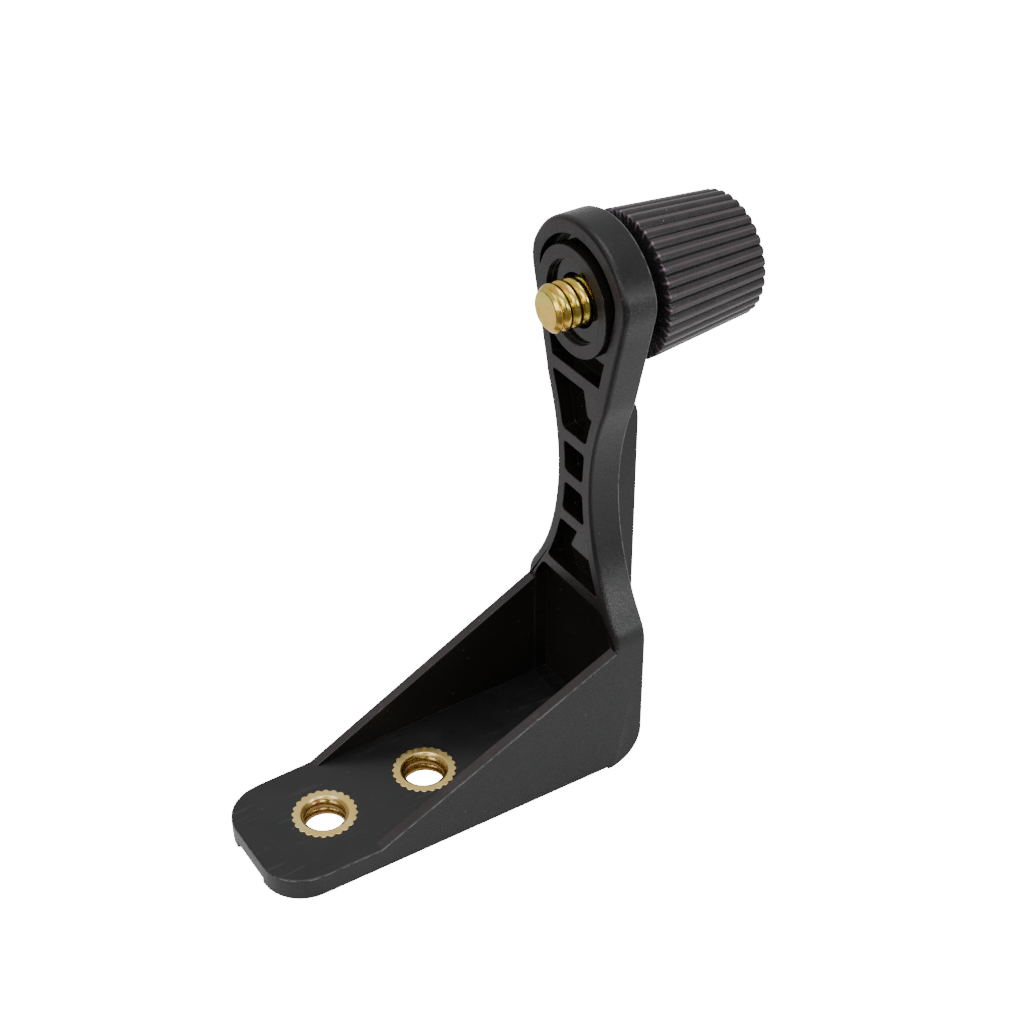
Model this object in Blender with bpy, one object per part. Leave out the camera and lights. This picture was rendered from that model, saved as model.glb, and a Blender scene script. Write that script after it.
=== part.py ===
"""Camera and optics adapter bracket: a moulded L-shaped arm with two threaded
inserts in its foot and a captive clamp screw, turned by a fluted knob, through
the eye at its top.

Metres, +Z up. X is across the bracket, -Y is towards the toe of the foot and +Y
towards the knob. The origin is under the middle of the whole object's box, at the
height of its lowest point. Heights and depths below are counted from the foot's
underside and from the arm's front plane.
"""
import math

import bmesh
import bpy
import numpy as np

MM = 0.001

# foot
FOOT_WIDTH = 21.9 * MM           # across the arm's front plane
TOE_WIDTH = 19.97 * MM           # across the toe, before its corners are rounded
TOE_REACH = 51.6 * MM            # arm's front plane to the toe's edge
TOE_CORNER = 6.0 * MM
FOOT_THICK = 3.4 * MM
FLOOR_DROP = 0.05 * MM           # channel floor below the toe's top
TOE_NOTCH_WIDTH = 7.4 * MM
TOE_NOTCH_HEIGHT = 0.9 * MM
TOE_NOTCH_DEPTH = 0.5 * MM

# side walls
WALL_THICK = 1.6 * MM
WALL_START = 36.9 * MM           # arm's front plane to the wall's low end
WALL_RISE = 20.7 * MM            # height of the wall's top at the arm

# arm
ARM_DEPTH = 4.7 * MM
HEEL_RADIUS = 5.45 * MM
HEEL_DROP = 0.4 * MM             # the heel stands this far below the foot
HEEL_PAD_FRONT = 0.75 * MM       # heel pad's front edge, ahead of the arm's front
WAIST_HALF_WIDTH = 3.85 * MM
WAIST_HEIGHT = 43.3 * MM
WAIST_RADIUS = 33.3 * MM
KINK_HEIGHT = 56.7 * MM          # the arm's sides turn straight here
EYE_HEIGHT = 70.09 * MM
EYE_RADIUS = 10.84 * MM
EYE_CORNER_ANGLE = math.radians(12.4)
FLANGE_THICK = 1.85 * MM
WEB_FRONT = 2.0 * MM
WEB_REAR = 3.7 * MM
RIB_THICK = 1.9 * MM
RIB_HEIGHTS = (26.05 * MM, 36.1 * MM, 42.7 * MM, 49.15 * MM, 59.0 * MM)
POCKET_CORNER = 0.6 * MM

# rear fin
FIN_THICK = 1.8 * MM
FIN_REAR = 9.7 * MM
FIN_TOP = 55.0 * MM
FIN_RADIUS = 5.0 * MM

# eye
EYE_RIM_THICK = 2.25 * MM
BOSS_RADIUS = 7.4 * MM
BOSS_PROUD = 0.7 * MM            # front seat ahead of the arm's front plane
COUNTERBORE_RADIUS = 5.6 * MM
COUNTERBORE_FLOOR = 0.15 * MM
SCREW_CLEARANCE_RADIUS = 3.6 * MM
REAR_BOSS_END = 6.6 * MM
REAR_BORE_RADIUS = 5.2 * MM
REAR_BORE_START = 2.4 * MM

# inserts, threaded for a 1/4 inch camera screw
INSERT_CENTRES = {"toe_insert": 40.15 * MM, "rear_insert": 24.5 * MM}
INSERT_RADIUS = 4.25 * MM
INSERT_TEETH = 24
INSERT_TOOTH = 0.3 * MM
INSERT_SINK = 0.15 * MM          # both ends below the foot's faces
INSERT_MOUTH_RADIUS = 3.3 * MM
INSERT_CHAMFER = 0.4 * MM

# thread of the 1/4 inch camera screw, coarse and round-crested
THREAD_PITCH = 1.5 * MM
THREAD_MAJOR = 3.175 * MM
SCREW_ROOT = 2.45 * MM
NUT_CREST = 2.75 * MM
ROWS_PER_PITCH = 4

# clamp screw, depths along +Y from the arm's front plane
SCREW_TIP = -4.6 * MM
SCREW_TIP_RADIUS = 2.75 * MM
SCREW_CHAMFER = 0.45 * MM
THREAD_END = 1.9 * MM
NECK_RADIUS = 2.45 * MM
GROOVE_START = 2.45 * MM
GROOVE_END = 3.75 * MM
GROOVE_RADIUS = 1.75 * MM
SHANK_START = 7.6 * MM
SHANK_RADIUS = 3.1 * MM
HEAD_START = 12.3 * MM
HEAD_END = 16.3 * MM
HEAD_FLATS = 11.11 * MM
SCREW_SIDES = 24

# retaining clip and thrust washer
CLIP_START = 2.7 * MM
CLIP_THICK = 0.8 * MM
CLIP_INNER_RADIUS = 2.05 * MM
CLIP_OUTER_RADIUS = 4.4 * MM
CLIP_MOUTH = math.radians(70)
WASHER_START = 5.45 * MM
WASHER_END = 6.95 * MM
WASHER_INNER_RADIUS = 3.5 * MM

# knob
KNOB_FRONT = 7.25 * MM
KNOB_REAR = 23.3 * MM
KNOB_FRONT_RADIUS = 9.82 * MM
KNOB_REAR_RADIUS = 8.4 * MM
KNOB_FLUTES = 35
FLUTE_DEPTH = 0.4 * MM
KNOB_CHAMFER = 0.3 * MM
KNOB_CAVITY_RADIUS = 6.9 * MM
KNOB_MOUTH_RADIUS = 7.4 * MM
KNOB_MOUTH_START = 21.6 * MM
CAP_RECESS = 0.3 * MM
CAP_DISH = 0.3 * MM

GAP = 0.3 * MM                   # left between touching pieces

ORIGIN_Y = (TOE_REACH - KNOB_REAR) / 2   # arm's front plane in the object's frame


# ---------------------------------------------------------------- outlines

def arc(cx, cy, radius, start_deg, end_deg, steps):
    """Points along a circular arc, both ends included."""
    angles = np.radians(np.linspace(start_deg, end_deg, steps + 1))
    return np.column_stack((cx + radius * np.cos(angles), cy + radius * np.sin(angles)))


def soft_corner(before, corner, after, steps=4):
    """Quadratic curve from before to after, pulled towards the corner."""
    t = np.linspace(0.0, 1.0, steps + 1)[:, None]
    return (1 - t) ** 2 * before + 2 * t * (1 - t) * corner + t ** 2 * after


def waist_half_width(height):
    """Half width of the arm's concave sides at a height."""
    rise = height - WAIST_HEIGHT
    return WAIST_HALF_WIDTH + WAIST_RADIUS - np.sqrt(WAIST_RADIUS ** 2 - rise ** 2)


def arm_side(base_height):
    """Right-hand outline of the arm as (x, z) points, from its base to its top."""
    half = FOOT_WIDTH / 2
    drop = math.sqrt(WAIST_RADIUS ** 2 - (WAIST_HALF_WIDTH + WAIST_RADIUS - half) ** 2)
    shoulder = np.array((half, WAIST_HEIGHT - drop))
    low = shoulder[1] + 1.6 * MM
    heights = np.linspace(low, KINK_HEIGHT - 1.2 * MM, 25)
    concave = np.column_stack((waist_half_width(heights), heights))
    kink = np.array((waist_half_width(KINK_HEIGHT), KINK_HEIGHT))
    eye = np.array((0.0, EYE_HEIGHT))
    corner_dir = np.array((math.cos(EYE_CORNER_ANGLE), math.sin(EYE_CORNER_ANGLE)))
    corner = eye + EYE_RADIUS * corner_dir
    straight = (corner - kink) / np.linalg.norm(corner - kink)
    above = math.degrees(EYE_CORNER_ANGLE) + 9.0
    top = arc(0.0, EYE_HEIGHT, EYE_RADIUS, above, 90.0, 16)
    pieces = [
        np.array([(half, base_height)]),
        soft_corner(shoulder - (0.0, 1.8 * MM), shoulder, concave[0]),
        concave[1:-1],
        soft_corner(concave[-1], kink, kink + straight * 1.4 * MM, 3),
        soft_corner(corner - straight * 1.7 * MM, corner, top[0]),
        top[1:],
    ]
    return np.vstack(pieces)


def closed_from_side(side):
    """Mirror a right-hand outline across X and close it."""
    left = side[::-1] * (-1.0, 1.0)
    return np.vstack((side, left[1:] if abs(side[-1][0]) < 1e-9 else left))


def inner_side(distance):
    """The arm's right-hand outline moved inwards by a distance."""
    side = arm_side(0.0)
    step = np.gradient(side, axis=0)
    step /= np.linalg.norm(step, axis=1)[:, None]
    inner = side + distance * np.column_stack((-step[:, 1], step[:, 0]))
    inner[-1] = (0.0, EYE_HEIGHT + EYE_RADIUS - distance)
    return inner


def rounded_band(side, low, high):
    """Closed outline between two heights, inside a mirrored side, corners eased."""
    r = POCKET_CORNER
    heights = np.linspace(low + r, high - r, 9)
    half = np.interp(heights, side[:, 1], side[:, 0])
    right = np.column_stack((half, heights))
    low_corner = np.array((np.interp(low, side[:, 1], side[:, 0]), low))
    high_corner = np.array((np.interp(high, side[:, 1], side[:, 0]), high))
    start = soft_corner(low_corner - (r, 0.0), low_corner, right[0], 3)
    end = soft_corner(right[-1], high_corner, high_corner - (r, 0.0), 3)
    return closed_from_side(np.vstack((start, right[1:-1], end)))


def foot_half_width(y, inset=0.0):
    """Half width of the tapering foot at a distance y ahead (-) of the arm."""
    slope = (FOOT_WIDTH - TOE_WIDTH) / 2 / TOE_REACH
    return FOOT_WIDTH / 2 + slope * min(y, 0.0) - inset


def foot_plan():
    """Outline of the foot seen from above, with the toe's rounded corners."""
    rear = ARM_DEPTH + 1 * MM
    r = TOE_CORNER
    half = foot_half_width(-TOE_REACH)
    corner = arc(half - r, -TOE_REACH + r, r, 0.0, -90.0, 8)
    right = np.vstack(([(foot_half_width(0.0), rear), (foot_half_width(0.0), 0.0)], corner))
    return closed_from_side(right)


def side_profile():
    """Outline seen from the side: foot, sloping wall tops, arm and heel, as (y, z)."""
    heel = arc(ARM_DEPTH - HEEL_RADIUS, HEEL_RADIUS - HEEL_DROP, HEEL_RADIUS, -90.0, 0.0, 10)
    top = EYE_HEIGHT + EYE_RADIUS + 1 * MM
    points = [(-TOE_REACH, 0.0), (-HEEL_PAD_FRONT, 0.0)]
    points += [tuple(p) for p in heel]
    points += [(ARM_DEPTH, top), (0.0, top), (0.0, WALL_RISE)]
    points += [(-WALL_START, FOOT_THICK), (-TOE_REACH, FOOT_THICK)]
    return points


# ---------------------------------------------------------------- meshes

def new_object(name, verts, faces, material=None, parent=None, smooth=True):
    """Mesh object with outward faces."""
    mesh = bpy.data.meshes.new(name)
    mesh.from_pydata([tuple(v) for v in verts], [], faces)
    bm = bmesh.new()
    bm.from_mesh(mesh)
    bmesh.ops.recalc_face_normals(bm, faces=bm.faces)
    bm.to_mesh(mesh)
    bm.free()
    if smooth:
        mesh.shade_smooth()
        mesh.set_sharp_from_angle(angle=math.radians(35))
    obj = bpy.data.objects.new(name, mesh)
    bpy.context.scene.collection.objects.link(obj)
    obj.parent = parent
    if material:
        mesh.materials.append(material)
    return obj


def prism(name, outline, axis, low, high, **kwargs):
    """Straight extrusion of a closed outline along X, Y or Z."""
    place = {
        "X": lambda u, v, w: (w, u, v),
        "Y": lambda u, v, w: (u, w, v),
        "Z": lambda u, v, w: (u, v, w),
    }[axis]
    n = len(outline)
    verts = [place(u, v, w) for w in (low, high) for u, v in outline]
    faces = [tuple(range(n)), tuple(range(2 * n - 1, n - 1, -1))]
    faces += [(i, (i + 1) % n, n + (i + 1) % n, n + i) for i in range(n)]
    return new_object(name, verts, faces, **kwargs)


def disc(name, cx, cy, radius, axis, low, high, steps=40, **kwargs):
    """Cylinder along X, Y or Z."""
    return prism(name, arc(cx, cy, radius, 0.0, 360.0, steps)[:-1], axis, low, high, **kwargs)


def turned(name, rows, closed=False, **kwargs):
    """Skin over rings about Z. A row is (z, radii); an open stack gets flat ends."""
    count = len(rows[0][1])
    angles = np.arange(count) * 2 * math.pi / count
    verts = []
    for z, radii in rows:
        verts += [(r * math.cos(a), r * math.sin(a), z) for r, a in zip(radii, angles)]
    pairs = len(rows) if closed else len(rows) - 1
    faces = []
    for row in range(pairs):
        low = row * count
        high = (row + 1) % len(rows) * count
        for i in range(count):
            j = (i + 1) % count
            faces.append((low + i, low + j, high + j, high + i))
    if not closed:
        faces.append(tuple(range(count)))
        faces.append(tuple(range(len(verts) - 1, len(verts) - count - 1, -1)))
    return new_object(name, verts, faces, **kwargs)


def ring(radius, count=SCREW_SIDES):
    """A plain round row for turned()."""
    return np.full(count, radius)


def combine(target, tool, operation):
    """Boolean of the tool into the target, which keeps the result."""
    modifier = target.modifiers.new(operation.lower(), "BOOLEAN")
    modifier.operation = operation
    modifier.solver = "EXACT"
    modifier.object = tool
    depsgraph = bpy.context.evaluated_depsgraph_get()
    result = bpy.data.meshes.new_from_object(target.evaluated_get(depsgraph))
    target.modifiers.clear()
    old = target.data
    target.data = result
    bpy.data.meshes.remove(old)
    bpy.data.objects.remove(tool)


def plastic(name, color, roughness):
    """Plain moulded plastic."""
    return surface(name, color, roughness, 0.0)


def surface(name, color, roughness, metallic):
    """Principled material."""
    material = bpy.data.materials.new(name)
    material.use_nodes = True
    shader = material.node_tree.nodes["Principled BSDF"]
    shader.inputs["Base Color"].default_value = (*color, 1.0)
    shader.inputs["Roughness"].default_value = roughness
    shader.inputs["Metallic"].default_value = metallic
    material.diffuse_color = (*color, 1.0)
    return material


# ---------------------------------------------------------------- thread

def thread_radii(z, root, crest, count):
    """Radii round a right-hand thread at one height: a wave that climbs a pitch a turn."""
    turn = np.arange(count) / count
    phase = np.mod(z / THREAD_PITCH - turn, 1.0)
    wave = np.clip(np.abs(2 * phase - 1) * 1.5 - 0.25, 0.0, 1.0)
    return root + (crest - root) * wave


def thread_rows(start, end, root, crest, count):
    """Rows of a threaded stretch between two heights."""
    steps = max(2, round(abs(end - start) / THREAD_PITCH * ROWS_PER_PITCH))
    return [(z, thread_radii(z, root, crest, count)) for z in np.linspace(start, end, steps + 1)]


# ---------------------------------------------------------------- pieces

def cut_pockets(body):
    """Hollow the arm's front between its ribs, and its rear on both sides of the fin."""
    inner = inner_side(FLANGE_THICK)
    front = -1 * MM
    half_rib = RIB_THICK / 2
    spans = [(low + half_rib, high - half_rib) for low, high in zip(RIB_HEIGHTS, RIB_HEIGHTS[1:])]
    for low, high in spans:
        pocket = prism("pocket", rounded_band(inner, low, high), "Y", front, WEB_FRONT)
        combine(body, pocket, "DIFFERENCE")
    rim = inner_side(EYE_RIM_THICK)
    start = RIB_HEIGHTS[-1] + half_rib
    corner = (np.interp(start, rim[:, 1], rim[:, 0]), start)
    eye_side = np.vstack(([corner], rim[rim[:, 1] > start]))
    combine(body, prism("eye_pocket", closed_from_side(eye_side), "Y", front, WEB_FRONT), "DIFFERENCE")
    rear = rounded_band(inner, RIB_HEIGHTS[0], RIB_HEIGHTS[-1])
    combine(body, prism("rear_pocket", rear, "Y", WEB_REAR, ARM_DEPTH + 1 * MM), "DIFFERENCE")


def cut_channel(body):
    """Open the channel between the foot's side walls, and its end in the arm's front."""
    floor = FOOT_THICK - FLOOR_DROP
    half_front = foot_half_width(-WALL_START, WALL_THICK)
    half_rear = foot_half_width(0.0, WALL_THICK)
    plan = [(half_front, -WALL_START), (half_rear, 0.0), (-half_rear, 0.0), (-half_front, -WALL_START)]
    top = RIB_HEIGHTS[0] - RIB_THICK / 2
    combine(body, prism("channel", plan, "Z", floor, top), "DIFFERENCE")
    inner = inner_side(FLANGE_THICK)
    inner[:, 0] = np.minimum(inner[:, 0], half_rear)
    heights = np.linspace(WALL_RISE - 1 * MM, top - POCKET_CORNER, 9)
    half = np.interp(heights, inner[:, 1], inner[:, 0])
    high_corner = np.array((np.interp(top, inner[:, 1], inner[:, 0]), top))
    side = np.vstack(([(half_rear, floor)], np.column_stack((half, heights))))
    end = soft_corner(side[-1], high_corner, high_corner - (POCKET_CORNER, 0.0), 3)
    hollow = closed_from_side(np.vstack((side[:-1], end)))
    combine(body, prism("hollow", hollow, "Y", -0.5 * MM, WEB_FRONT), "DIFFERENCE")


def add_fin(body):
    """Upright fin along the arm's rear, rounded at its top and at the ground."""
    deep = WEB_FRONT + 0.5 * MM
    top = arc(FIN_REAR - FIN_RADIUS, FIN_TOP - FIN_RADIUS, FIN_RADIUS, 90.0, 0.0, 8)
    low = arc(FIN_REAR - FIN_RADIUS, FIN_RADIUS, FIN_RADIUS, 0.0, -90.0, 8)
    outline = [(deep, FIN_TOP)] + [tuple(p) for p in top] + [tuple(p) for p in low]
    outline += [(deep, 1.0 * MM)]
    fin = prism("fin", outline, "X", -FIN_THICK / 2, FIN_THICK / 2)
    combine(body, fin, "UNION")


def add_eye(body):
    """Seat ring in front, boss behind, and the stepped bore for the screw."""
    axis = (0.0, EYE_HEIGHT)
    overlap = 0.4 * MM
    combine(body, disc("seat", *axis, BOSS_RADIUS, "Y", -BOSS_PROUD, WEB_FRONT + overlap, 48), "UNION")
    combine(body, disc("rear_boss", *axis, BOSS_RADIUS, "Y", WEB_FRONT + overlap, REAR_BOSS_END, 48), "UNION")
    clear = 1 * MM
    bores = (
        (COUNTERBORE_RADIUS, -BOSS_PROUD - clear, COUNTERBORE_FLOOR),
        (SCREW_CLEARANCE_RADIUS, -clear, ARM_DEPTH),
        (REAR_BORE_RADIUS, REAR_BORE_START, REAR_BOSS_END + clear),
    )
    for radius, start, end in bores:
        combine(body, disc("bore", *axis, radius, "Y", start, end), "DIFFERENCE")


def make_bracket(frame, material):
    """Moulded bracket: the crossing of its side, front and plan outlines, hollowed out."""
    wide = FOOT_WIDTH
    body = prism("bracket_body", side_profile(), "X", -wide, wide, material=material)
    front_outline = closed_from_side(arm_side(-HEEL_DROP - 1 * MM))
    far_front = -TOE_REACH - 1 * MM
    combine(body, prism("front", front_outline, "Y", far_front, ARM_DEPTH + 1 * MM), "INTERSECT")
    height = EYE_HEIGHT + EYE_RADIUS + 2 * MM
    combine(body, prism("plan", foot_plan(), "Z", -HEEL_DROP - 2 * MM, height), "INTERSECT")
    cut_channel(body)
    cut_pockets(body)
    add_fin(body)
    add_eye(body)
    for reach in INSERT_CENTRES.values():
        hole = disc("hole", 0.0, -reach, INSERT_RADIUS + GAP, "Z", -1 * MM, FOOT_THICK + 1 * MM)
        combine(body, hole, "DIFFERENCE")
    half = TOE_NOTCH_WIDTH / 2
    notch = [(-half, -TOE_REACH - 1 * MM), (half, -TOE_REACH - 1 * MM)]
    notch += [(half, -TOE_REACH + TOE_NOTCH_DEPTH), (-half, -TOE_REACH + TOE_NOTCH_DEPTH)]
    combine(body, prism("notch", notch, "Z", -1 * MM, TOE_NOTCH_HEIGHT), "DIFFERENCE")
    body.parent = frame
    body.data.shade_smooth()
    body.data.set_sharp_from_angle(angle=math.radians(35))
    return body


def make_insert(name, reach, frame, material):
    """Knurled brass bush with a through thread."""
    count = INSERT_TEETH * 2
    knurl = np.where(np.arange(count) % 2, INSERT_RADIUS - INSERT_TOOTH, INSERT_RADIUS)
    low = INSERT_SINK
    high = FOOT_THICK - INSERT_SINK
    inside = thread_rows(high - INSERT_CHAMFER, low + INSERT_CHAMFER, THREAD_MAJOR, NUT_CREST, count)
    rows = [(low, knurl), (high, knurl), (high, ring(INSERT_MOUTH_RADIUS, count))]
    rows += inside
    rows += [(low, ring(INSERT_MOUTH_RADIUS, count))]
    insert = turned(name, rows, closed=True, material=material, parent=frame)
    insert.location = (0.0, -reach, 0.0)
    return insert


def make_screw(axis, material):
    """Clamp screw: hex head, shank, grooved neck and threaded end, from rear to tip."""
    sides = SCREW_SIDES
    turn = np.arange(sides) * 2 * math.pi / sides
    sixth = math.pi / 3
    hexagon = HEAD_FLATS / 2 / np.cos(np.mod(turn, sixth) - sixth / 2)
    rows = [(-HEAD_END, hexagon), (-HEAD_START, hexagon)]
    rows += [(-HEAD_START, ring(SHANK_RADIUS)), (-SHANK_START, ring(SHANK_RADIUS))]
    rows += [(-SHANK_START, ring(NECK_RADIUS)), (-GROOVE_END, ring(NECK_RADIUS))]
    rows += [(-GROOVE_END, ring(GROOVE_RADIUS)), (-GROOVE_START, ring(GROOVE_RADIUS))]
    rows += [(-GROOVE_START, ring(NECK_RADIUS)), (-THREAD_END, ring(NECK_RADIUS))]
    thread_top = -SCREW_TIP - SCREW_CHAMFER
    rows += thread_rows(-THREAD_END + 0.1 * MM, thread_top, SCREW_ROOT, THREAD_MAJOR, sides)
    rows += [(-SCREW_TIP, ring(SCREW_TIP_RADIUS - 0.15 * MM))]
    return turned("clamp_screw", rows, material=material, parent=axis)


def make_clip(axis, material):
    """Open retaining ring in the screw's groove."""
    half_mouth = math.degrees(CLIP_MOUTH) / 2
    outer = arc(0.0, 0.0, CLIP_OUTER_RADIUS, half_mouth - 90.0, 270.0 - half_mouth, 28)
    inner = arc(0.0, 0.0, CLIP_INNER_RADIUS, 270.0 - half_mouth, half_mouth - 90.0, 28)
    outline = np.vstack((outer, inner))
    low = -CLIP_START - CLIP_THICK
    return prism("retaining_clip", outline, "Z", low, -CLIP_START, material=material, parent=axis)


def make_washer(axis, material):
    """Thrust washer in the mouth of the rear bore, which the knob turns against."""
    count = 40
    outer = ring(REAR_BORE_RADIUS - GAP, count)
    inner = ring(WASHER_INNER_RADIUS, count)
    rows = [(-WASHER_END, outer), (-WASHER_START, outer), (-WASHER_START, inner), (-WASHER_END, inner)]
    return turned("thrust_washer", rows, closed=True, material=material, parent=axis)


def flute_radii(radius):
    """A fluted row: four points a flute, with a round ridge and a narrow valley."""
    wave = np.tile((1.0, 0.75, 0.0, 0.75), KNOB_FLUTES)
    return radius - FLUTE_DEPTH * (1.0 - wave)


def make_knob(axis, material):
    """Tapered, fluted knob with a hex pocket for the screw's head."""
    lip = KNOB_CHAMFER
    rows = [
        (-KNOB_REAR, flute_radii(KNOB_REAR_RADIUS - lip)),
        (-KNOB_REAR + lip, flute_radii(KNOB_REAR_RADIUS)),
        (-KNOB_FRONT - lip / 2, flute_radii(KNOB_FRONT_RADIUS)),
        (-KNOB_FRONT, flute_radii(KNOB_FRONT_RADIUS - lip / 2)),
    ]
    knob = turned("knob_shell", rows, material=material, parent=None)
    clear = 1 * MM
    hex_corner = HEAD_FLATS / 2 / math.cos(math.pi / 6) + GAP
    cuts = (
        disc("mouth", 0.0, 0.0, KNOB_MOUTH_RADIUS, "Z", -KNOB_REAR - clear, -KNOB_MOUTH_START),
        disc("cavity", 0.0, 0.0, KNOB_CAVITY_RADIUS, "Z", -KNOB_MOUTH_START - clear, -HEAD_END),
        disc("pocket", 0.0, 0.0, hex_corner, "Z", -HEAD_END - clear, -HEAD_START + GAP, 6),
        disc("shank_hole", 0.0, 0.0, SHANK_RADIUS + GAP, "Z", -HEAD_START - clear, clear),
    )
    for cut in cuts:
        combine(knob, cut, "DIFFERENCE")
    knob.parent = axis
    knob.data.shade_smooth()
    knob.data.set_sharp_from_angle(angle=math.radians(25))
    return knob


def make_cap(axis, material):
    """Disc that closes the knob's rear, slightly dished."""
    count = 40
    radius = KNOB_MOUTH_RADIUS - GAP
    rear = -KNOB_REAR + CAP_RECESS
    rows = [
        (rear + CAP_DISH, ring(radius * 0.55, count)),
        (rear, ring(radius * 0.8, count)),
        (rear, ring(radius - 0.2 * MM, count)),
        (rear + 0.2 * MM, ring(radius, count)),
        (-KNOB_MOUTH_START - GAP, ring(radius, count)),
    ]
    return turned("knob_cap", rows, material=material, parent=axis)


def empty(name, parent=None):
    """Frame that pieces are parented to."""
    obj = bpy.data.objects.new(name, None)
    bpy.context.scene.collection.objects.link(obj)
    obj.parent = parent
    return obj


def main():
    """Clear the scene and build every piece."""
    for obj in list(bpy.data.objects):
        bpy.data.objects.remove(obj)
    frame = empty("bracket_frame")
    frame.location = (0.0, ORIGIN_Y, HEEL_DROP)
    axis = empty("clamp_axis", frame)
    axis.location = (0.0, 0.0, EYE_HEIGHT)
    axis.rotation_euler = (math.radians(90), 0.0, 0.0)   # local +Z points out of the eye's front

    black = plastic("bracket_plastic", (0.016, 0.016, 0.017), 0.45)
    knob_black = plastic("knob_plastic", (0.02, 0.018, 0.019), 0.5)
    acetal = plastic("washer_acetal", (0.03, 0.03, 0.03), 0.35)
    brass = surface("insert_brass", (0.80, 0.66, 0.32), 0.35, 1.0)
    plated = surface("screw_plating", (0.74, 0.58, 0.27), 0.3, 1.0)
    spring = surface("clip_steel", (0.45, 0.45, 0.46), 0.35, 1.0)

    make_bracket(frame, black)
    for name, reach in INSERT_CENTRES.items():
        make_insert(name, reach, frame, brass)
    make_screw(axis, plated)
    make_clip(axis, spring)
    make_washer(axis, acetal)
    make_knob(axis, knob_black)
    make_cap(axis, knob_black)


main()
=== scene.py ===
"""Finish of a moulded optics bracket: grained body with eased edges, knurled and
threaded brass inserts, plated clamp screw with its clip and washer, fluted knob.

Everything is in metres in the frame of the packed solids: +Z up, -Y towards the toe
of the foot, +Y towards the knob, X across the bracket. Depths are counted from the
arm's front plane and heights from the foot's underside unless a name says otherwise.
"""

import math

import bmesh
import bpy
import numpy as np
from mathutils import Matrix, Vector


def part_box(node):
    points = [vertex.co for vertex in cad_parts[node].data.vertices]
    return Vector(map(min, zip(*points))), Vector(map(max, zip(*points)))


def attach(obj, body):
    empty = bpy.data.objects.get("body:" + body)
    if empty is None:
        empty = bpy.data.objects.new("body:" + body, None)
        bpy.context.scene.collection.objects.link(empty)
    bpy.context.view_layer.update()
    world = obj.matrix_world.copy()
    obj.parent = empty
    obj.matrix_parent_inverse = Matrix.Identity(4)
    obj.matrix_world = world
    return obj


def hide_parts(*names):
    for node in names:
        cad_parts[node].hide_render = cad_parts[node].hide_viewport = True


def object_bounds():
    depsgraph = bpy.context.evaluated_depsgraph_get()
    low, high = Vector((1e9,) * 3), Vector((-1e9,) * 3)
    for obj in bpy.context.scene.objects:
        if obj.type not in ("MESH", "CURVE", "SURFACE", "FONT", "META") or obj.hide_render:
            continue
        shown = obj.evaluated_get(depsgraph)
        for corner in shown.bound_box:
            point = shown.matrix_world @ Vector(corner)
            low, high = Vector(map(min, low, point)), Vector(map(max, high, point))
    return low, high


bl_info = {
    "name": "Optics Bracket Finish",
    "version": (1, 0, 0),
    "blender": (4, 5, 0),
    "location": "View3D > Sidebar > Bracket",
    "description": "Finishes a moulded optics bracket with its inserts, clamp screw and knob",
    "category": "Object",
}

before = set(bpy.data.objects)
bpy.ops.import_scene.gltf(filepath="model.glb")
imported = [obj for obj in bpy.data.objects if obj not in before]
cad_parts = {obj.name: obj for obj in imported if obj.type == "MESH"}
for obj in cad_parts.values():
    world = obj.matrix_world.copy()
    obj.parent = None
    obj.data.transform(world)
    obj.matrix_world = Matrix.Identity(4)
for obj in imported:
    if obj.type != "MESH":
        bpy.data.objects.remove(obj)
CAD_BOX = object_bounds()

MM = 0.001
BODY_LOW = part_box("bracket_body")[0]
SCREW_LOW, SCREW_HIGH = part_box("clamp_screw")
KNOB_LOW, KNOB_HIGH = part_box("knob_shell")

FOOT_THICK = 3.4 * MM
FOOT_REACH = 51.6 * MM           # arm's front plane to the toe's edge
FOOT_STEP = 0.06 * MM            # a little more than the toe's step above the channel floor
INSERT_SINK = 0.15 * MM          # insert's faces below the foot's faces
TOOTH_TIP = 4.52 * MM            # radius over an insert's teeth
TOOTH_DEPTH = 0.34 * MM
GRIP_RADIUS = 4.28 * MM          # plastic's edge between the teeth
HOLE_REACH = 5.2 * MM            # everything nearer to an insert's axis is its hole's edge
FACE_PROUD = 0.03 * MM           # insert's faces beyond the foot's faces
WALL_START = 36.9 * MM           # arm's front plane to the walls' low end
WALL_RISE = 20.7 * MM            # walls' top at the arm
ARM_DEPTH = 4.7 * MM
EYE_RADIUS = 10.84 * MM
EYE_PROUD = 0.7 * MM             # seat ring ahead of the arm's front plane

ARM_FRONT = BODY_LOW.y + FOOT_REACH
FOOT_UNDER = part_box("toe_insert")[0].z - INSERT_SINK
AXIS_HEIGHT = (SCREW_LOW.z + SCREW_HIGH.z) / 2
THREAD_PITCH = 1.5 * MM
THREAD_MAJOR = 3.175 * MM
TIP_FLAT = 2.4 * MM              # radius of the screw tip's flat
FIRST_GROOVE = 1.03 * MM         # tip to the first groove, on the +X side
THREAD_POWER = 0.8               # below 1 it makes crests broad and grooves narrow
CREASE_ANGLE = math.radians(40)  # turned pieces are creased where faces meet at more


# ---------------------------------------------------------------- settings

def length(name, description, default):
    """A setting in metres, shown with five digits."""
    return bpy.props.FloatProperty(
        name=name, description=description, default=default, unit="LENGTH", precision=5)


def tint(name, description, default):
    """A colour setting."""
    return bpy.props.FloatVectorProperty(
        name=name, description=description, default=default, subtype="COLOR", size=3, min=0, max=1)


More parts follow.
